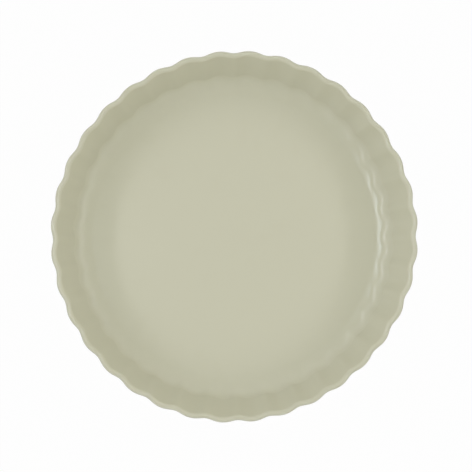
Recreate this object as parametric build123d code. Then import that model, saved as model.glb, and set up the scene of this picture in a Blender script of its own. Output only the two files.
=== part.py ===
from build123d import *
from collections import namedtuple
from math import atan, ceil, cos, pi, radians, sin, tan
import os

# Fluted quiche dish, in millimetres. It stands on its foot ring, with its centre line on Z.

# The dish as a whole. The lean is in degrees from upright.
crest_diameter = 280.0
height = 45.0
wall_thickness = 4.5
wall_lean = 19.0
floor_thickness = 5.0
glaze_thickness = 0.4

# The flutes have round crests and tighter valleys, and a valley lies near +X. Inside they start
# at the edge of the flat floor, and grow to full depth over this run out from it. In the drift's
# direction they sit further round than even spacing puts them, and opposite it less far round.
# The drift and its direction are in degrees.
flute_count = 36
flute_depth = 1.9
valley_tightness_share = 0.1
flute_growth = 12.0
base_flute_share = 0.35
flute_drift = 0.59
flute_drift_direction = 216.0

# The blend inside, from the flat floor up to the wall, and the round outside it.
corner_reach = 15.4
corner_rise = 9.2
outer_corner_radius = 10.0

# The bare ring that the dish stands on, set in from the edge of the flat underside.
foot_inset = 7.0
foot_width = 6.0
foot_height = 2.0
foot_edge_radius = 0.9
foot_root_radius = 0.9
widest_round_share = 0.45

# Firing left the rim slightly oval, with a weaker four-sided pull. The directions are in degrees.
oval_pull = 1.04
oval_direction = 70.0
square_pull = 0.44
square_direction = -9.0
base_pull_share = 0.7

# How finely the curved surfaces are drawn. A panel is one face's part of the way round.
panel_count = 12
points_per_flute = 8
lip_steps = 8
corner_steps = 8
nudge_share = 0.001

lean = radians(wall_lean)
floor_top = foot_height + floor_thickness
lip_radius = wall_thickness / 2
lip_centre_radius = crest_diameter / 2 - lip_radius
lip_centre_height = height - lip_radius

# One level of the surface: its radius over the crests, its height, the angle that the surface
# faces there (0 is outwards and a quarter turn is up), and how much of the flutes it shows.
Level = namedtuple("Level", "radius height facing flute_share")


def spread(start, end, steps):
    """Evenly spaced values from start to end, both included."""
    return [start + (end - start) * step / steps for step in range(steps + 1)]


def lip_level(facing):
    """The level of the full-round lip that faces this way."""
    radius = lip_centre_radius + lip_radius * cos(facing)
    level_height = lip_centre_height + lip_radius * sin(facing)
    return Level(radius, level_height, facing, 1)


def lip():
    """The levels over the lip, from the inside of the wall to its outside."""
    return [lip_level(facing) for facing in spread(pi - lean, -lean, lip_steps)]


def inner_corner():
    """The levels of the elliptical blend, from the edge of the flat floor to the wall."""
    last_turn = atan(corner_reach / (corner_rise * tan(lean)))
    wall_foot = floor_top + corner_rise * (1 - cos(last_turn))
    wall_top = lip_level(pi - lean)
    wall_run = (wall_top.height - wall_foot) * tan(lean)
    floor_radius = wall_top.radius - wall_run - corner_reach * sin(last_turn)
    levels = []
    for turn in spread(0, last_turn, corner_steps):
        run = corner_reach * sin(turn)
        level_height = floor_top + corner_rise * (1 - cos(turn))
        facing = pi / 2 + atan(tan(turn) * corner_rise / corner_reach)
        grown_share = min(run / flute_growth, 1)
        flute_share = (1 - cos(pi * grown_share)) / 2
        levels.append(Level(floor_radius + run, level_height, facing, flute_share))
    return levels


def outer_corner():
    """The levels of the round from the outside of the wall to the underside."""
    wall_top = lip_level(-lean)
    centre_height = foot_height + outer_corner_radius
    wall_drop = wall_top.height + outer_corner_radius * sin(lean) - centre_height
    centre_radius = wall_top.radius - outer_corner_radius * cos(lean) - wall_drop * tan(lean)
    levels = []
    for facing in spread(-lean, -pi / 2, corner_steps):
        radius = centre_radius + outer_corner_radius * cos(facing)
        level_height = centre_height + outer_corner_radius * sin(facing)
        turn_left_share = (pi / 2 + facing) / (pi / 2 - lean)
        flute_share = base_flute_share + (1 - base_flute_share) * turn_left_share
        levels.append(Level(radius, level_height, facing, flute_share))
    return levels


def flute_offset(angle):
    """How far the flutes move the surface out from the crests at this angle round the dish."""
    drift = radians(flute_drift) * cos(angle - radians(flute_drift_direction))
    wave = flute_count * (angle - drift) + pi
    shape = cos(wave) - valley_tightness_share * cos(2 * wave)
    return flute_depth / 2 * (shape - 1 + valley_tightness_share)


def firing_offset(angle, level_height):
    """How far firing moved the surface out, which is less near the stiff floor."""
    share = base_pull_share + (1 - base_pull_share) * level_height / height
    oval = oval_pull * cos(2 * (angle - radians(oval_direction)))
    square = square_pull * cos(4 * (angle - radians(square_direction)))
    return share * (oval + square)


def surface_point(level, depth, angle):
    """The point of one level at this angle, this deep under the glazed surface."""
    offset = level.flute_share * flute_offset(angle) + firing_offset(angle, level.height)
    radius = level.radius - depth * cos(level.facing) + offset
    point_height = level.height - depth * sin(level.facing)
    return Vector(radius * cos(angle), radius * sin(angle), point_height)


def surface_run(level, depth, angle, panel_turn):
    """Which way and how fast the level runs there, per panel."""
    nudge = panel_turn * nudge_share
    ahead = surface_point(level, depth, angle + nudge)
    behind = surface_point(level, depth, angle - nudge)
    return (ahead - behind) * (panel_turn / (2 * nudge))


def outline(level, depth):
    """The closed curve of one level, as one smooth edge for each panel."""
    panel_turn = 2 * pi / panel_count
    steps = ceil(flute_count * points_per_flute / panel_count)
    edges = []
    for panel in range(panel_count):
        start = panel * panel_turn
        end = start + panel_turn
        points = [surface_point(level, depth, angle) for angle in spread(start, end, steps)]
        runs = [surface_run(level, depth, angle, panel_turn) for angle in (start, end)]
        knots = spread(0, 1, steps)
        edges.append(Edge.make_spline(points, tangents=runs, parameters=knots, scale=False))
    return Wire(edges)


def footless_dish(depth):
    """The dish without its foot, this deep under the glazed surface all over."""
    inside = inner_corner()
    rim = lip()
    outside = outer_corner()
    rounded_bands = [inside, rim, outside]
    straight_bands = [[inside[-1], rim[0]], [rim[-1], outside[0]]]
    faces = [Face(outline(inside[0], depth)), Face(outline(outside[-1], depth))]
    for band in rounded_bands:
        faces += Shell.make_loft([outline(level, depth) for level in band]).faces()
    for band in straight_bands:
        faces += Shell.make_loft([outline(level, depth) for level in band], ruled=True).faces()
    return Solid(Shell(faces))


def foot_ring():
    """The foot, from the middle of the floor's thickness down to the table."""
    outer = outer_corner()[-1].radius - foot_inset
    inner = outer - foot_width
    clay_underside = foot_height + glaze_thickness
    buried_top = foot_height + floor_thickness / 2
    widest_round = widest_round_share * min(clay_underside, foot_width)
    edge_radius = min(foot_edge_radius, widest_round)
    root_radius = min(foot_root_radius, widest_round)
    flare = 2 * root_radius
    corners = [
        (inner - flare, buried_top),
        (inner - flare, clay_underside),
        (inner, clay_underside),
        (inner, 0),
        (outer, 0),
        (outer, clay_underside),
        (outer + flare, clay_underside),
        (outer + flare, buried_top),
    ]
    section = make_face(Polyline(*corners, close=True))
    root_corners = section.vertices().group_by(Axis.Y)[1].sort_by(Axis.X)[1:3]
    section = fillet(root_corners, root_radius)
    edge_corners = section.vertices().group_by(Axis.Y)[0]
    section = fillet(edge_corners, edge_radius)
    return revolve(Plane.XZ * section, axis=Axis.Z)


def stoneware_body():
    """The fired clay in one piece: floor, fluted wall and bare foot ring."""
    return footless_dish(glaze_thickness) + foot_ring()


def glazes(body):
    """The glaze outside the bare foot ring, which covers the dish, and the disc inside the ring."""
    areas = (footless_dish(0) - body).solids().sort_by(SortBy.VOLUME)
    return areas[-1], areas[0]


body = stoneware_body()
coat, recess = glazes(body)
pieces = {"stoneware_body": body, "glaze_coat": coat, "recess_glaze": recess}

os.makedirs("parts", exist_ok=True)
for name, piece in pieces.items():
    piece.label = name
    export_step(piece, "parts/" + name + ".step")
    print(name, len(piece.solids()), "solid,", round(piece.volume), "cubic mm")
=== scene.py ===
from collections import namedtuple
from math import atan, cos, pi, radians, sin, tan

import bpy
from mathutils import Matrix, Vector


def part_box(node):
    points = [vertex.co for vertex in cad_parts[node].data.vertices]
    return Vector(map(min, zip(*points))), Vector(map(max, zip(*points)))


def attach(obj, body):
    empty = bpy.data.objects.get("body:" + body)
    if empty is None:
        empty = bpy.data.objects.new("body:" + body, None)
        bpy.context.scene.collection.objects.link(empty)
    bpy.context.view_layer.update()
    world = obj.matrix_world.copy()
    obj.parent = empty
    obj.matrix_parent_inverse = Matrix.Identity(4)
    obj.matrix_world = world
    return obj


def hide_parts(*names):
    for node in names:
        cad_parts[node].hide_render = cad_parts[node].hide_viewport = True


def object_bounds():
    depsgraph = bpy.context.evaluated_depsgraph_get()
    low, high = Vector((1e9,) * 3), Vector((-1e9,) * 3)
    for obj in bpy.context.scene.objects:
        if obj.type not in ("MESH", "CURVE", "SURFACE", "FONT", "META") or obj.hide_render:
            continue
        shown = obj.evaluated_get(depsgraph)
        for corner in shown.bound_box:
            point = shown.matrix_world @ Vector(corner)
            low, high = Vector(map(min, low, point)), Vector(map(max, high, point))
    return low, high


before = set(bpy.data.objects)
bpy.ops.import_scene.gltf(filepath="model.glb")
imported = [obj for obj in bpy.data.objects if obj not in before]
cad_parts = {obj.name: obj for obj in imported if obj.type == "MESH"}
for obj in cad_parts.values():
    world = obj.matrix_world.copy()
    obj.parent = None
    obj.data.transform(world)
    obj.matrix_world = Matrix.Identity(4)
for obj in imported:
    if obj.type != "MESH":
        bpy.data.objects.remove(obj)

bl_info = {
    "name": "Fluted Quiche Dish",
    "version": (1, 0, 0),
    "blender": (4, 5, 0),
    "location": "3D View > Sidebar > Quiche Dish",
    "description": "Makes a glazed stoneware quiche dish with a fluted wall, and a plain studio round it",
    "category": "Add Mesh",
}

cad_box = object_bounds()
recess_low, recess_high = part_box("recess_glaze")
whole_turn = 2 * pi


def length(name, description, default):
    """A property for a length in metres."""
    return bpy.props.FloatProperty(
        name=name, description=description, default=default, min=0, unit="LENGTH", precision=5
    )


def angle(name, description, degrees):
    """A property for an angle."""
    return bpy.props.FloatProperty(
        name=name, description=description, default=radians(degrees), subtype="ANGLE"
    )


def share(name, description, default):
    """A property for a share from none to all."""
    return bpy.props.FloatProperty(
        name=name, description=description, default=default, min=0, max=1, subtype="FACTOR"
    )


def colour(name, description, default):
    """A property for a colour in linear light."""
    return bpy.props.FloatVectorProperty(
        name=name, description=description, default=default, min=0, max=1, subtype="COLOR"
    )


class DishSizes(bpy.types.PropertyGroup):
    """The sizes of the dish"""

    crest_diameter: length("Diameter", "Across the rim, over the crests of the flutes", 0.28)
    height: length("Height", "From the table to the top of the rim", cad_box[1].z)
    wall_thickness: length("Wall", "The thickness of the wall, with its glaze", 0.0045)
    wall_lean: angle("Lean", "How far the wall leans out from upright", 19)
    floor_thickness: length("Floor", "The thickness of the floor, with its glaze", 0.005)
    glaze_thickness: length("Glaze", "The thickness of the glaze", recess_high.z - recess_low.z)
    flute_count: bpy.props.IntProperty(
        name="Flutes", description="How many flutes there are round the wall", default=36, min=3
    )
    flute_depth: length("Flute depth", "From a crest in to a valley", 0.0019)
    valley_tightness: share("Valley tightness", "How much tighter valleys are than crests", 0.1)
    flute_growth: length("Flute growth", "The run over which flutes grow to full depth", 0.012)
    base_flute: share("Flutes at the base", "How much of the flutes is left at the base", 0.35)
    flute_drift: angle("Flute drift", "How far the flutes drift round from even spacing", 0.59)
    drift_direction: angle("Drift direction", "Where the flutes sit furthest round", 216)
    corner_reach: length("Blend reach", "How far in the blend from floor to wall reaches", 0.0154)
    corner_rise: length("Blend rise", "How far up that blend would reach", 0.0092)
    outer_corner_radius: length("Outer round", "The round from the wall to the underside", 0.01)
    foot_inset: length("Foot inset", "From the edge of the flat underside in to the foot", 0.007)
    foot_width: length("Foot width", "The width of the foot ring", 0.006)
    foot_height: length("Foot height", "From the table to the glazed underside", recess_low.z)
    foot_round: length("Foot round", "The rounds at the foot's edges and roots", 0.0009)
    oval_pull: length("Oval pull", "How far firing pulled the rim oval", 0.00104)
    oval_direction: angle("Oval direction", "Where the oval rim is widest", 70)
    square_pull: length("Square pull", "How far firing pulled the rim four-sided", 0.00044)
    square_direction: angle("Square direction", "Where the four-sided rim is widest", -9)
    base_pull: share("Pull at the base", "How much of these pulls is left at the base", 0.7)
    unevenness: length("Unevenness", "How deep the hollows in the glaze surface are", 0.00003)
    unevenness_size: length("Hollow size", "How wide the hollows in the glaze surface are", 0.018)
    edge_wander: length("Edge wander", "How far the glaze edge at the foot wanders", 0.0005)


class GlazeFinish(bpy.types.PropertyGroup):
    """The look of the glaze"""

    body_colour: colour("Glaze", "The glaze at its usual thickness", (0.505, 0.492, 0.362))
    # Darker glaze for the corners: pooled glaze, and painted shade.
    pooled_and_shade_colour: colour("Pooled glaze", "Where the glaze ran together", (0.490, 0.478, 0.345))
    # Lighter glaze for the lip: thin glaze, and a painted highlight.
    thin_and_highlight_colour: colour("Thin glaze", "Where the glaze drew thin", (0.530, 0.518, 0.395))
    speck_colour: colour("Specks", "The faint iron specks in the glaze", (0.30, 0.26, 0.17))
    speck_strength: share("Speck strength", "How clearly the specks show", 0.16)
    roughness: share("Roughness", "How rough the glaze surface is", 0.05)
    mottling: share("Mottling", "How much the tone varies over the glaze", 0.03)


class ClayFinish(bpy.types.PropertyGroup):
    """The look of the bare clay"""

    body_colour: colour("Clay", "The fired clay", (0.604, 0.509, 0.367))
    speck_colour: colour("Specks", "The iron specks in the clay", (0.20, 0.13, 0.08))
    ground_colour: colour("Ground foot", "The foot where it was ground flat", (0.50, 0.43, 0.33))
    roughness: share("Roughness", "How rough the bare clay is", 0.82)


class StudioSettings(bpy.types.PropertyGroup):
    """The camera and the light"""

    camera_distance: length("Camera distance", "From the camera down to the rim", 1.1)
    lens: bpy.props.FloatProperty(
        name="Lens", description="The camera's focal length", default=110.6, unit="CAMERA"
    )
    ambient: bpy.props.FloatVectorProperty(
        name="Ambient light",
        description="The light from all round, in units of a white surface",
        default=(0.45, 0.445, 0.34),
        min=0,
    )
    floor_size: length("Floor size", "The width of the studio floor", 12)
    floor_whiteness: share("Floor whiteness", "How white the floor shows", 0.985)


# How many steps a quarter turn or so of the foot's rounds and of the glaze edges has, how much
# the glaze pooled on the outer round, which also darkens it there as painted shade, how far the
# middle of a glaze edge stands off the foot's root as a share of the glaze's thickness, and how
# near points lie that are joined into one.
arc_steps = 6
outer_pooling_and_shade = 0.6
edge_standoff = 0.75
weld_distance = 1e-6

# One level of the dish's surface: its radius over the crests, its height, the angle that the
# surface faces there (0 is outwards and a quarter turn is up), how much of the flutes and of the
# firing's pull it shows, and how the glaze is coloured there, from -1 where it drew thin and is
# painted lighter as a highlight to 1 where it pooled and is painted darker as shade.
Level = namedtuple("Level", "radius height facing flutes pull pooling")

# One point of a section: how far out it is, the rest of a level's values, how far the surface's
# unevenness moves it, and how far the wander of the glaze edge does.
SectionPoint = namedtuple(
    "SectionPoint", "reach height facing flutes pull pooling uneven wander"
)


def spread(start, end, steps):
    """Evenly spaced values from start to end, both included."""
    return [start + (end - start) * step / steps for step in range(steps + 1)]


def gathered(start, end, steps):
    """Values from start to end, both included, closer together near both."""
    return [start + (end - start) * (1 - cos(turn)) / 2 for turn in spread(0, pi, steps)]


def between(first, last, steps):
    """The levels of a straight run between two levels, without those two."""
    shares = gathered(0, 1, steps)[1:-1]
    return [Level(*[a + (b - a) * part for a, b in zip(first, last)]) for part in shares]


def pull_at(sizes, height):
    """How much of the firing's pull shows at this height."""
    return sizes.base_pull + (1 - sizes.base_pull) * height / sizes.height


def lip_level(sizes, facing, pooling):
    """The level of the full-round lip that faces this way."""
    lip_radius = sizes.wall_thickness / 2
    radius = sizes.crest_diameter / 2 - lip_radius + lip_radius * cos(facing)
    height = sizes.height - lip_radius + lip_radius * sin(facing)
    return Level(radius, height, facing, 1, pull_at(sizes, height), pooling)


def lip(sizes, steps):
    """The levels over the lip, where the glaze drew thin and a painted highlight lightens its top."""
    start = pi - sizes.wall_lean
    return [
        # Lighter towards the top of the lip: thin glaze, and a painted highlight.
        lip_level(sizes, facing, -sin(pi * step / steps))
        for step, facing in enumerate(spread(start, -sizes.wall_lean, steps))
    ]


def inner_corner(sizes, steps):
    """The levels of the elliptical blend inside, where the glaze pooled and painted shade darkens it."""
    reach, rise = sizes.corner_reach, sizes.corner_rise
    last_turn = atan(reach / (rise * tan(sizes.wall_lean)))
    floor_top = sizes.foot_height + sizes.floor_thickness
    wall_top = lip_level(sizes, pi - sizes.wall_lean, 0)
    wall_foot = floor_top + rise * (1 - cos(last_turn))
    wall_run = (wall_top.height - wall_foot) * tan(sizes.wall_lean)
    floor_radius = wall_top.radius - wall_run - reach * sin(last_turn)
    levels = []
    for turn in spread(0, last_turn, steps):
        height = floor_top + rise * (1 - cos(turn))
        facing = pi / 2 + atan(tan(turn) * rise / reach)
        # Darker mid-way round the inner blend: pooled glaze, and painted shade in the corner.
        pooling = sin(pi * turn / last_turn)
        run = reach * sin(turn)
        grown = min(run / sizes.flute_growth, 1)
        flutes = (1 - cos(pi * grown)) / 2
        pull = pull_at(sizes, height)
        levels.append(Level(floor_radius + run, height, facing, flutes, pull, pooling))
    return levels


def outer_corner(sizes, steps):
    """The levels of the round from the outside of the wall to the underside."""
    wall_top = lip_level(sizes, -sizes.wall_lean, 0)
    round_radius = sizes.outer_corner_radius
    centre_height = sizes.foot_height + round_radius
    drop = wall_top.height + round_radius * sin(sizes.wall_lean) - centre_height
    centre_radius = wall_top.radius - round_radius * cos(sizes.wall_lean)
    centre_radius -= drop * tan(sizes.wall_lean)
    levels = []
    for facing in spread(-sizes.wall_lean, -pi / 2, steps):
        height = centre_height + round_radius * sin(facing)
        turn_left = (pi / 2 + facing) / (pi / 2 - sizes.wall_lean)
        flutes = sizes.base_flute + (1 - sizes.base_flute) * turn_left
        # Darker mid-way round the outer round: pooled glaze, and painted shade under the wall.
        pooling = outer_pooling_and_shade * sin(pi * turn_left)
        radius = centre_radius + round_radius * cos(facing)
        pull = pull_at(sizes, height)
        levels.append(Level(radius, height, facing, flutes, pull, pooling))
    return levels


def dish_levels(sizes, fineness):
    """The levels from the middle of the floor, over the rim, to the edge of the underside."""
    inside = inner_corner(sizes, 7 * fineness)
    rim = lip(sizes, 6 * fineness)
    outside = outer_corner(sizes, 4 * fineness)
    middle = Level(0, inside[0].height, pi / 2, 0, 0, 0)
    levels = [middle] + between(middle, inside[0], 6 * fineness) + inside
    levels += between(inside[-1], rim[0], 3 * fineness) + rim
    levels += between(rim[-1], outside[0], 3 * fineness) + outside
    return levels


def under(level, depth, uneven=0):
    """The section point of a level, this deep under the glazed surface."""
    radius = level.radius - depth * cos(level.facing)
    height = level.height - depth * sin(level.facing)
    return SectionPoint(radius, height, *level[2:], uneven, 0)


def round_points(radius, height, size, start, end, steps, wander=0, into=1):
    """The section points round an arc, which faces outwards, or inwards where into is -1."""
    points = []
    for facing in spread(start, end, steps):
        seen = facing if into > 0 else facing + pi
        points.append(
            SectionPoint(
                radius + size * cos(facing), height + size * sin(facing), seen, 0, 0, 0, 0, wander
            )
        )
    return points


def foot_radii(sizes):
    """The outer and inner radius of the foot ring."""
    outer = outer_corner(sizes, 1)[-1].radius - sizes.foot_inset
    return outer, outer - sizes.foot_width


def coat_section(sizes):
    """The glaze from the middle of the floor to its edge by the foot, and back beside the clay."""
    thickness = sizes.glaze_thickness
    outer_radius, _ = foot_radii(sizes)
    edge_radius = outer_radius + sizes.foot_round + thickness * edge_standoff
    edge_height = sizes.foot_height + thickness / 2
    points = [under(level, 0, 1) for level in dish_levels(sizes, 4)]
    last = points[-1]
    half = thickness / 2
    edge = round_points(edge_radius, edge_height, half, -pi / 2, -3 * pi / 2, arc_steps, 1)
    flat = edge[0]._replace(wander=0)
    for part in (0.25, 0.5, 0.75):
        points.append(SectionPoint(*[a + (b - a) * part for a, b in zip(last, flat)]))
    points += edge
    points += [under(level, thickness) for level in reversed(dish_levels(sizes, 1))]
    return points


def recess_section(sizes):
    """The glaze disc inside the foot ring, from its middle below to its middle above."""
    thickness = sizes.glaze_thickness
    _, inner_radius = foot_radii(sizes)
    edge_radius = inner_radius - sizes.foot_round - thickness * edge_standoff
    edge_height = sizes.foot_height + thickness / 2
    half = thickness / 2
    edge = round_points(edge_radius, edge_height, half, -pi / 2, pi / 2, arc_steps, -1)
    points = []
    for radius in gathered(0, edge_radius, 14)[:-1]:
        points.append(SectionPoint(radius, sizes.foot_height, -pi / 2, 0, 0, 0, 0, 0))
    points += edge
    points.append(edge[-1]._replace(reach=0, wander=0))
    return points


def body_section(sizes):
    """The clay from the middle of the floor, over the rim and the foot, to the recess's middle."""
    depth = sizes.glaze_thickness
    size = sizes.foot_round
    outer_radius, inner_radius = foot_radii(sizes)
    clay_height = sizes.foot_height + depth
    root_height = clay_height - size
    points = [under(level, depth) for level in dish_levels(sizes, 2)]
    points += round_points(outer_radius + size, root_height, size, pi / 2, pi, arc_steps, 0, -1)
    points += round_points(outer_radius - size, size, size, 0, -pi / 2, arc_steps)
    points += round_points(inner_radius + size, size, size, -pi / 2, -pi, arc_steps)
    points += round_points(inner_radius - size, root_height, size, 0, pi / 2, arc_steps, 0, -1)
    for radius in spread(inner_radius - size, 0, 8)[1:]:
        points.append(SectionPoint(radius, clay_height, -pi / 2, 0, 0, 0, 0, 0))
    return points


class Number:
    """A number that a node tree works out. Arithmetic on it adds Math nodes to the tree."""

    def __init__(self, maker, socket):
        self.maker = maker
        self.socket = socket

    def __add__(self, other):
        return self.maker.math("ADD", self, other)

    def __radd__(self, other):
        return self.maker.math("ADD", other, self)

    def __sub__(self, other):
        return self.maker.math("SUBTRACT", self, other)

    def __rsub__(self, other):
        return self.maker.math("SUBTRACT", other, self)

    def __mul__(self, other):
        return self.maker.math("MULTIPLY", self, other)

    def __rmul__(self, other):
        return self.maker.math("MULTIPLY", other, self)

    def __truediv__(self, other):
        return self.maker.math("DIVIDE", self, other)

    def __rtruediv__(self, other):
        return self.maker.math("DIVIDE", other, self)

    def __lt__(self, other):
        return self.maker.math("LESS_THAN", self, other)

    def cosine(self):
        return self.maker.math("COSINE", self)

    def sine(self):
        return self.maker.math("SINE", self)

    def size(self):
        return self.maker.math("ABSOLUTE", self)


class Maker:
    """Adds nodes to one tree."""

    def __init__(self, tree):
        self.tree = tree

    def node(self, kind, settings=None, inputs=None):
        """One node: its settings come first, and then the values or links of its sockets."""
        made = self.tree.nodes.new(kind)
        for name, value in (settings or {}).items():
            setattr(made, name, value)
        for key, value in (inputs or {}).items():
            source = value.socket if isinstance(value, Number) else value
            if isinstance(source, bpy.types.NodeSocket):
                self.tree.links.new(source, made.inputs[key])
            else:
                made.inputs[key].default_value = source
        return made

    def number(self, kind, settings=None, inputs=None, output=0):
        """One output of a new node, as a number."""
        return Number(self, self.node(kind, settings, inputs).outputs[output])

    def math(self, operation, *values):
        return self.number("ShaderNodeMath", {"operation": operation}, dict(enumerate(values)))

    def vector(self, x, y, z):
        return self.node("ShaderNodeCombineXYZ", None, {0: x, 1: y, 2: z}).outputs[0]

    def dot(self, first, second):
        settings = {"operation": "DOT_PRODUCT"}
        return self.number("ShaderNodeVectorMath", settings, {0: first, 1: second}, "Value")

    def ease(self, value, start, end):
        """From none at start to all at end, with soft ends."""
        inputs = {"Value": value, "From Min": start, "From Max": end}
        return self.number("ShaderNodeMapRange", {"interpolation_type": "SMOOTHSTEP"}, inputs)

    def mix(self, factor, first, second):
        """A colour between two others."""
        inputs = {0: factor, 6: first, 7: second}
        return self.node("ShaderNodeMix", {"data_type": "RGBA"}, inputs).outputs[2]

    def both(self, operation, first, second):
        """A vector worked out from two others."""
        settings = {"operation": operation}
        return self.node("ShaderNodeVectorMath", settings, {0: first, 1: second}).outputs[0]

    def tint(self, shade, factor):
        """A colour, brighter or darker by this factor."""
        inputs = {0: shade, "Scale": factor}
        return self.node("ShaderNodeVectorMath", {"operation": "SCALE"}, inputs).outputs[0]

    def noise(self, place, size, detail=2.0, grain=0.5):
        """Soft random values from 0 to 1, in blots of about this size."""
        inputs = {"Vector": place, "Scale": 1 / size, "Detail": detail, "Roughness": grain}
        return self.number("ShaderNodeTexNoise", None, inputs)

    def specks(self, place, marks):
        """All inside small round specks and none outside them."""
        inputs = {"Vector": place, "Scale": 1 / marks.spacing}
        cells = self.node("ShaderNodeTexVoronoi", None, inputs)
        distance = Number(self, cells.outputs["Distance"])
        draw = self.number("ShaderNodeSeparateColor", None, {0: cells.outputs["Color"]})
        reach = marks.size / marks.spacing
        return self.ease(distance, reach, reach / 2) * (draw < marks.chosen)


def rgba(shade):
    return (*shade, 1.0)


sweep_inputs = [
    ("Points Round", "NodeSocketInt"),
    ("Flute Count", "NodeSocketInt"),
    ("Flute Depth", "NodeSocketFloat"),
    ("Valley Tightness", "NodeSocketFloat"),
    ("Flute Drift", "NodeSocketFloat"),
    ("Drift Direction", "NodeSocketFloat"),
    ("Oval Pull", "NodeSocketFloat"),
    ("Oval Direction", "NodeSocketFloat"),
    ("Square Pull", "NodeSocketFloat"),
    ("Square Direction", "NodeSocketFloat"),
    ("Unevenness", "NodeSocketFloat"),
    ("Unevenness Size", "NodeSocketFloat"),
    ("Edge Wander", "NodeSocketFloat"),
    ("Seed", "NodeSocketFloat"),
    ("Material", "NodeSocketMaterial"),
]


def sweep_tree():
    """The tree that turns a section round the dish, with the flutes and the firing's pull."""
    tree = bpy.data.node_groups.new("sweep_round_the_dish", "GeometryNodeTree")
    sockets = tree.interface
    sockets.new_socket("Section", in_out="INPUT", socket_type="NodeSocketGeometry")
    sockets.new_socket("Piece", in_out="OUTPUT", socket_type="NodeSocketGeometry")
    for name, kind in sweep_inputs:
        sockets.new_socket(name, in_out="INPUT", socket_type=kind)
    maker = Maker(tree)
    given = maker.node("NodeGroupInput").outputs
    inputs = {name: Number(maker, given[name]) for name, _ in sweep_inputs}

    def stored(name):
        return maker.number("GeometryNodeInputNamedAttribute", {"data_type": "FLOAT"}, {"Name": name})

    ring = maker.node(
        "GeometryNodeCurvePrimitiveCircle", None, {"Resolution": inputs["Points Round"]}
    )
    place_round = maker.number("GeometryNodeInputIndex")
    marked = maker.node(
        "GeometryNodeStoreNamedAttribute",
        {"data_type": "FLOAT", "domain": "POINT"},
        {
            "Geometry": ring.outputs[0],
            "Name": "turn",
            "Value": place_round * whole_turn / inputs["Points Round"],
        },
    )
    section = maker.node("GeometryNodeMeshToCurve", None, {"Mesh": given["Section"]})
    swept = maker.node(
        "GeometryNodeCurveToMesh",
        None,
        {"Curve": marked.outputs[0], "Profile Curve": section.outputs[0]},
    )

    turn = stored("turn")
    drift = inputs["Flute Drift"] * (turn - inputs["Drift Direction"]).cosine()
    wave = inputs["Flute Count"] * (turn - drift) + pi
    tightness = inputs["Valley Tightness"]
    shape = wave.cosine() - tightness * (2 * wave).cosine()
    flutes = inputs["Flute Depth"] / 2 * (shape - 1 + tightness)
    oval = inputs["Oval Pull"] * (2 * (turn - inputs["Oval Direction"])).cosine()
    square = inputs["Square Pull"] * (4 * (turn - inputs["Square Direction"])).cosine()

    facing = stored("facing")
    even_place = maker.vector(
        stored("reach") * turn.cosine(),
        stored("reach") * turn.sine(),
        stored("height") + inputs["Seed"],
    )
    hollow = maker.number(
        "ShaderNodeTexNoise",
        None,
        {"Vector": even_place, "Scale": 1 / inputs["Unevenness Size"], "Detail": 1.0},
    )
    wander = maker.number(
        "ShaderNodeTexNoise",
        None,
        {"Vector": even_place, "Scale": 4 / inputs["Unevenness Size"] / 3, "Detail": 3.0},
    )
    sunk = inputs["Unevenness"] * hollow * stored("uneven")
    radius = stored("reach") + stored("flutes") * flutes + stored("pull") * (oval + square)
    radius = radius - sunk * facing.cosine() + stored("wander") * inputs["Edge Wander"] * wander
    height = stored("height") - sunk * facing.sine()
    placed = maker.node(
        "GeometryNodeSetPosition",
        None,
        {
            "Geometry": swept.outputs[0],
            "Position": maker.vector(radius * turn.cosine(), radius * turn.sine(), height),
        },
    )
    geometry = placed.outputs[0]
    for name in ("reach", "height", "facing", "flutes", "pull", "uneven", "wander", "turn"):
        inputs_here = {"Geometry": geometry, "Name": name}
        geometry = maker.node("GeometryNodeRemoveAttribute", None, inputs_here).outputs[0]
    closed = maker.node(
        "GeometryNodeMergeByDistance", None, {"Geometry": geometry, "Distance": weld_distance}
    )
    smooth = maker.node("GeometryNodeSetShadeSmooth", None, {"Geometry": closed.outputs[0]})
    real = maker.node("GeometryNodeRealizeInstances", None, {"Geometry": smooth.outputs[0]})
    finished = maker.node(
        "GeometryNodeSetMaterial",
        None,
        {"Geometry": real.outputs[0], "Material": given["Material"]},
    )
    maker.node("NodeGroupOutput", None, {"Piece": finished.outputs[0]})
    return tree


def section_mesh(name, points):
    """An open line of section points, with their values as attributes."""
    mesh = bpy.data.meshes.new(name)
    corners = [(point.reach, 0, point.height) for point in points]
    edges = [(index, index + 1) for index in range(len(points) - 1)]
    mesh.from_pydata(corners, edges, [])
    for field in SectionPoint._fields:
        values = [float(getattr(point, field)) for point in points]
        mesh.attributes.new(field, "FLOAT", "POINT").data.foreach_set("value", values)
    return mesh


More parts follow.
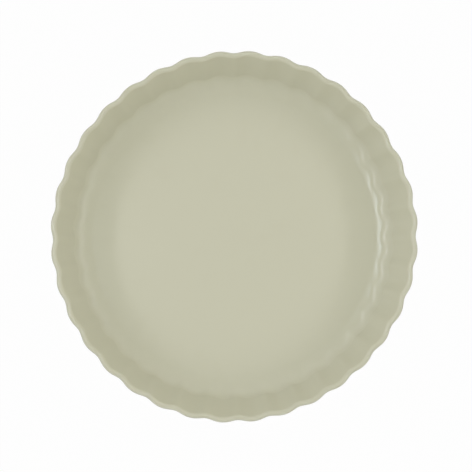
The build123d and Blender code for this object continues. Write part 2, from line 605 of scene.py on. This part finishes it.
def swept_piece(name, points, points_per_flute, seed, material, sizes):
    """A closed piece with this section, as a plain mesh."""
    tree = bpy.data.node_groups.get("sweep_round_the_dish") or sweep_tree()
    piece = bpy.data.objects.new(name, section_mesh(name, points))
    bpy.context.scene.collection.objects.link(piece)
    values = {
        "Points Round": sizes.flute_count * points_per_flute,
        "Flute Count": sizes.flute_count,
        "Flute Depth": sizes.flute_depth,
        "Valley Tightness": sizes.valley_tightness,
        "Flute Drift": sizes.flute_drift,
        "Drift Direction": sizes.drift_direction,
        "Oval Pull": sizes.oval_pull,
        "Oval Direction": sizes.oval_direction,
        "Square Pull": sizes.square_pull,
        "Square Direction": sizes.square_direction,
        "Unevenness": sizes.unevenness,
        "Unevenness Size": sizes.unevenness_size,
        "Edge Wander": sizes.edge_wander,
        "Seed": seed,
        "Material": material,
    }
    modifier = piece.modifiers.new("sweep", "NODES")
    modifier.node_group = tree
    for socket in tree.interface.items_tree:
        if socket.in_out == "INPUT" and socket.name in values:
            modifier[socket.identifier] = values[socket.name]
    depsgraph = bpy.context.evaluated_depsgraph_get()
    mesh = bpy.data.meshes.new_from_object(
        piece.evaluated_get(depsgraph), preserve_all_data_layers=True, depsgraph=depsgraph
    )
    if not mesh.polygons:
        raise RuntimeError(name + " came out with no faces")
    piece.modifiers.clear()
    piece.data = mesh
    mesh.name = name
    return piece


# How wide the clouds, mottles, grain and ripple in the glaze are, how high its ripple stands and
# how deep its pinholes go.
cloud_size = 0.045
mottle_size = 0.007
grain_size = 0.0012
ripple_size = 0.0045
ripple_height = 0.000004
pinhole_depth = 0.00004

# How far apart and how wide specks and pinholes are, and what share of their places has one.
Marks = namedtuple("Marks", "spacing size chosen")
glaze_specks = Marks(0.0035, 0.0004, 0.35)
glaze_pinholes = Marks(0.009, 0.00035, 0.25)
clay_specks = Marks(0.0018, 0.00035, 0.5)

# How wide the grit, blots and grinding lines in the clay are, how high grit and lines stand, how
# far the grinding reaches up from the table, and how little the lines change round the foot.
grit_size = 0.0005
blot_size = 0.006
line_size = 0.0004
grit_height = 0.00003
line_height = 0.00002
ground_top = 0.0003
ground_full = 0.00004
line_change = 0.02


def glaze_material(finish):
    """Glossy sage-cream glaze with soft mottling, faint specks and pinholes."""
    material = bpy.data.materials.get("sage_cream_glaze")
    if material:
        return material
    material = bpy.data.materials.new("sage_cream_glaze")
    material.use_nodes = True
    material.node_tree.nodes.clear()
    maker = Maker(material.node_tree)
    place = maker.node("ShaderNodeTexCoord").outputs["Object"]
    pooling = maker.number("ShaderNodeAttribute", {"attribute_name": "pooling"}, None, "Fac")
    clouds = maker.noise(place, cloud_size, 2.0) - 0.5
    mottles = maker.noise(place, mottle_size, 3.0) - 0.5
    grain = maker.noise(place, grain_size, 2.0) - 0.5
    # Darker where pooled: pooled glaze with painted shade in the corners. Lighter where thin: thin glaze
    # with a painted highlight on the lip.
    pooled_and_shaded = maker.ease(pooling + 0.5 * mottles, 0.0, 1.2)
    thin_and_highlit = maker.ease(-1 * pooling + 0.6 * mottles, 0.1, 1.1)
    shade = maker.mix(pooled_and_shaded, rgba(finish.body_colour), rgba(finish.pooled_and_shade_colour))
    shade = maker.mix(thin_and_highlit, shade, rgba(finish.thin_and_highlight_colour))
    tone = 1 + finish.mottling * (clouds + 0.6 * mottles + 0.5 * grain)
    shade = maker.tint(shade, tone)
    iron = maker.specks(place, glaze_specks)
    shade = maker.mix(iron * finish.speck_strength, shade, rgba(finish.speck_colour))
    pinholes = maker.specks(place, glaze_pinholes)
    ripple = maker.noise(place, ripple_size, 1.0)
    height = ripple_height * ripple - pinhole_depth * pinholes
    bump = maker.node("ShaderNodeBump", None, {"Strength": 1.0, "Distance": 1.0, "Height": height})
    shader = maker.node(
        "ShaderNodeBsdfPrincipled",
        None,
        {
            "Base Color": shade,
            "Roughness": finish.roughness + 0.05 * mottles + 0.2 * pinholes,
            "IOR": 1.65,
            "Normal": bump.outputs[0],
        },
    )
    maker.node("ShaderNodeOutputMaterial", None, {"Surface": shader.outputs[0]})
    return material


def clay_material(finish):
    """Bare fired clay, fine-grained and matt, with iron specks and a ground foot."""
    material = bpy.data.materials.new("bare_stoneware")
    material.use_nodes = True
    material.node_tree.nodes.clear()
    maker = Maker(material.node_tree)
    place = maker.node("ShaderNodeTexCoord").outputs["Object"]
    parts = maker.node("ShaderNodeSeparateXYZ", None, {0: place}).outputs
    across, along, up = [Number(maker, part) for part in parts]
    grit = maker.noise(place, grit_size, 3.0, 0.6) - 0.5
    blots = maker.noise(place, blot_size, 3.0) - 0.5
    iron = maker.specks(place, clay_specks)
    radius = maker.math("SQRT", across * across + along * along)
    ground = maker.ease(up, ground_top, ground_full)
    turned = maker.vector(radius, line_change * across, line_change * along)
    lines = maker.noise(turned, line_size, 2.0) - 0.5
    shade = maker.mix(ground * (0.6 + blots), rgba(finish.body_colour), rgba(finish.ground_colour))
    shade = maker.tint(shade, 1 + 0.16 * grit + 0.14 * blots + 0.2 * ground * lines)
    shade = maker.mix(iron * 0.7, shade, rgba(finish.speck_colour))
    height = grit_height * grit * (1 - 0.7 * ground) + line_height * ground * lines
    bump = maker.node("ShaderNodeBump", None, {"Strength": 1.0, "Distance": 1.0, "Height": height})
    shader = maker.node(
        "ShaderNodeBsdfPrincipled",
        None,
        {
            "Base Color": shade,
            "Roughness": finish.roughness - 0.12 * ground + 0.1 * grit,
            "IOR": 1.5,
            "Normal": bump.outputs[0],
        },
    )
    maker.node("ShaderNodeOutputMaterial", None, {"Surface": shader.outputs[0]})
    return material


# The colours of the white that the camera sees and of the paper that lies under it.
white = (1.0, 1.0, 1.0)
paper_colour = (0.3, 0.3, 0.3)

# How far the light fades either side of the horizon, and the least climb of a direction whose
# slope is worked out.
horizon_fade = 0.05
least_climb = 0.02

# The flat lights over the dish. Azimuth is anticlockwise from +X, in degrees. The other figures
# are slopes out from straight up: how far out the near and the far edge lie, where along itself
# the light has its middle and how far it reaches either side of that, with how far each edge
# fades either way, and how much further out the near edge lies for each step along. The light
# is in units of a white surface, in red, green and blue.
Panel = namedtuple("Panel", "name azimuth near fade_near far fade_far along half fade_end flare light")
panels = [
    Panel("overhead", 182, 0.10, 0.096, 0.417, 0.013, 0.0, 0.30, 0.06, 1.79, (3.9, 4.4, 4.9)),
    Panel("left_strip", 180, 1.07, 0.02, 1.268, 0.10, -0.04, 0.33, 0.82, -0.24, (7.6, 7.6, 8.0)),
    Panel("right_strip", -1, 1.139, 0.075, 1.371, 0.087, 0.02, 0.60, 0.58, -0.18, (4.6, 4.5, 4.5)),
    Panel("back", 88, 0.894, 0.40, 1.872, 0.61, 0.17, 1.22, 0.28, -0.19, (0.45, 0.43, 0.42)),
    Panel("front", 265, 0.944, 0.39, 1.749, 0.51, 0.09, 1.40, 0.64, -0.23, (0.28, 0.26, 0.25)),
]


def panel_mask(maker, direction, panel):
    """All where this panel shows, none elsewhere, with its faded edges between."""
    azimuth = radians(panel.azimuth)
    up = maker.dot(direction, (0.0, 0.0, 1.0))
    climb = maker.math("MAXIMUM", up, least_climb)
    out = maker.dot(direction, (cos(azimuth), sin(azimuth), 0.0)) / climb
    side = (maker.dot(direction, (-sin(azimuth), cos(azimuth), 0.0)) / climb - panel.along).size()
    near = maker.ease(
        out - panel.flare * side, panel.near - panel.fade_near, panel.near + panel.fade_near
    )
    far = maker.ease(out, panel.far + panel.fade_far, panel.far - panel.fade_far)
    ends = maker.ease(side, panel.half + panel.fade_end, panel.half - panel.fade_end)
    return near * far * ends


def studio_world(studio):
    """The light round the dish, which shows as white to the camera."""
    world = bpy.data.worlds.new("studio_light")
    bpy.context.scene.world = world
    world.use_nodes = True
    world.node_tree.nodes.clear()
    maker = Maker(world.node_tree)
    direction = maker.node("ShaderNodeTexCoord").outputs["Generated"]
    path = maker.node("ShaderNodeLightPath").outputs
    seen = Number(maker, path["Is Camera Ray"])
    up = maker.dot(direction, (0.0, 0.0, 1.0))
    sky = maker.ease(up, -horizon_fade, horizon_fade)
    glow = maker.tint(studio.ambient, sky)
    for panel in panels:
        part = maker.tint(panel.light, panel_mask(maker, direction, panel))
        glow = maker.both("ADD", glow, part)
    lit = maker.node("ShaderNodeBackground", None, {"Color": glow, "Strength": 1.0})
    plain = maker.node("ShaderNodeBackground", None, {"Color": rgba(white), "Strength": 1.0})
    inputs = {0: seen, 1: lit.outputs[0], 2: plain.outputs[0]}
    both = maker.node("ShaderNodeMixShader", None, inputs)
    maker.node("ShaderNodeOutputWorld", None, {"Surface": both.outputs[0]})


def studio_floor(studio):
    """A wide pale floor that shows nearly white and keeps the dish's shadow."""
    half = studio.floor_size / 2
    mesh = bpy.data.meshes.new("studio_floor")
    corners = [(-half, -half, 0), (half, -half, 0), (half, half, 0), (-half, half, 0)]
    mesh.from_pydata(corners, [], [(0, 1, 2, 3)])
    floor = bpy.data.objects.new("studio_floor", mesh)
    bpy.context.scene.collection.objects.link(floor)
    material = bpy.data.materials.new("studio_floor")
    material.use_nodes = True
    material.node_tree.nodes.clear()
    maker = Maker(material.node_tree)
    path = maker.node("ShaderNodeLightPath").outputs
    camera, glossy, through = [
        Number(maker, path[name])
        for name in ("Is Camera Ray", "Is Glossy Ray", "Is Transmission Ray")
    ]
    seen = maker.math("MINIMUM", camera + glossy + through, 1.0)
    paper = maker.node("ShaderNodeBsdfDiffuse", None, {"Color": rgba(paper_colour)})
    glow = maker.node("ShaderNodeEmission", None, {"Color": rgba(white), "Strength": 1.0})
    inputs = {0: seen * studio.floor_whiteness, 1: paper.outputs[0], 2: glow.outputs[0]}
    both = maker.node("ShaderNodeMixShader", None, inputs)
    maker.node("ShaderNodeOutputMaterial", None, {"Surface": both.outputs[0]})
    mesh.materials.append(material)


# Where the camera stands beside the dish's centre line, where it looks at the rim's height, how
# far it is turned about its line of sight, and the width of its sensor in millimetres.
camera_offset = (-0.028, -0.010)
camera_aim = (0.00082, 0.00035)
camera_roll = radians(0.58)
sensor_width = 36


def studio_camera(studio, sizes):
    """The camera above the dish, turned a little about its own line of sight."""
    rim_height = sizes.height - sizes.wall_thickness / 2
    data = bpy.data.cameras.new("camera")
    data.lens = studio.lens
    data.sensor_width = sensor_width
    camera = bpy.data.objects.new("camera", data)
    bpy.context.scene.collection.objects.link(camera)
    place = Vector((*camera_offset, rim_height + studio.camera_distance))
    back = (place - Vector((*camera_aim, rim_height))).normalized()
    right = Vector((sin(camera_roll), cos(camera_roll), 0)).cross(back).normalized()
    turned = Matrix((right, back.cross(right), back)).transposed()
    camera.matrix_world = Matrix.Translation(place) @ turned.to_4x4()
    bpy.context.scene.camera = camera


def finish_piece(piece, node):
    """Puts a piece in the frame, in place of its CAD node."""
    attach(piece, "root")
    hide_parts(node)


class QUICHE_DISH_OT_stoneware_body(bpy.types.Operator):
    """Make the fired clay body with its bare foot ring"""

    bl_idname = "quiche_dish.stoneware_body"
    bl_label = "Stoneware Body"

    def execute(self, context):
        sizes = context.scene.dish_sizes
        clay = clay_material(context.scene.clay_finish)
        piece = swept_piece("fluted_stoneware_body", body_section(sizes), 8, 0.0, clay, sizes)
        finish_piece(piece, "stoneware_body")
        return {"FINISHED"}


class QUICHE_DISH_OT_glaze_coat(bpy.types.Operator):
    """Make the glaze that covers the dish down to its foot"""

    bl_idname = "quiche_dish.glaze_coat"
    bl_label = "Glaze Coat"

    def execute(self, context):
        sizes = context.scene.dish_sizes
        glaze = glaze_material(context.scene.glaze_finish)
        piece = swept_piece("fluted_glaze_coat", coat_section(sizes), 16, 0.31, glaze, sizes)
        finish_piece(piece, "glaze_coat")
        return {"FINISHED"}


class QUICHE_DISH_OT_recess_glaze(bpy.types.Operator):
    """Make the disc of glaze inside the foot ring"""

    bl_idname = "quiche_dish.recess_glaze"
    bl_label = "Recess Glaze"

    def execute(self, context):
        sizes = context.scene.dish_sizes
        glaze = glaze_material(context.scene.glaze_finish)
        piece = swept_piece("underside_recess_glaze", recess_section(sizes), 8, 0.72, glaze, sizes)
        finish_piece(piece, "recess_glaze")
        return {"FINISHED"}


class QUICHE_DISH_OT_studio(bpy.types.Operator):
    """Make the floor, the light and the camera"""

    bl_idname = "quiche_dish.studio"
    bl_label = "Studio"

    def execute(self, context):
        studio = context.scene.studio_settings
        context.scene.view_settings.view_transform = "Standard"
        studio_floor(studio)
        studio_world(studio)
        studio_camera(studio, context.scene.dish_sizes)
        return {"FINISHED"}


class QUICHE_DISH_PT_panel(bpy.types.Panel):
    """The dish's sizes, finishes and pieces"""

    bl_idname = "QUICHE_DISH_PT_panel"
    bl_label = "Fluted Quiche Dish"
    bl_space_type = "VIEW_3D"
    bl_region_type = "UI"
    bl_category = "Quiche Dish"

    def draw(self, context):
        for name, group in settings_groups.items():
            box = self.layout.box()
            box.label(text=name.replace("_", " ").capitalize())
            for field in group.__annotations__:
                box.prop(getattr(context.scene, name), field)
        for operator in operators:
            self.layout.operator(operator.bl_idname)


settings_groups = {
    "dish_sizes": DishSizes,
    "glaze_finish": GlazeFinish,
    "clay_finish": ClayFinish,
    "studio_settings": StudioSettings,
}
operators = [
    QUICHE_DISH_OT_stoneware_body,
    QUICHE_DISH_OT_glaze_coat,
    QUICHE_DISH_OT_recess_glaze,
    QUICHE_DISH_OT_studio,
]


def register():
    for name, group in settings_groups.items():
        bpy.utils.register_class(group)
        setattr(bpy.types.Scene, name, bpy.props.PointerProperty(type=group))
    for made in [*operators, QUICHE_DISH_PT_panel]:
        bpy.utils.register_class(made)


def unregister():
    for made in reversed([*operators, QUICHE_DISH_PT_panel]):
        bpy.utils.unregister_class(made)
    for name, group in reversed(settings_groups.items()):
        delattr(bpy.types.Scene, name)
        bpy.utils.unregister_class(group)


def main():
    register()
    bpy.ops.quiche_dish.stoneware_body()
    bpy.ops.quiche_dish.glaze_coat()
    bpy.ops.quiche_dish.recess_glaze()
    bpy.ops.quiche_dish.studio()


if __name__ == "__main__":
    main()
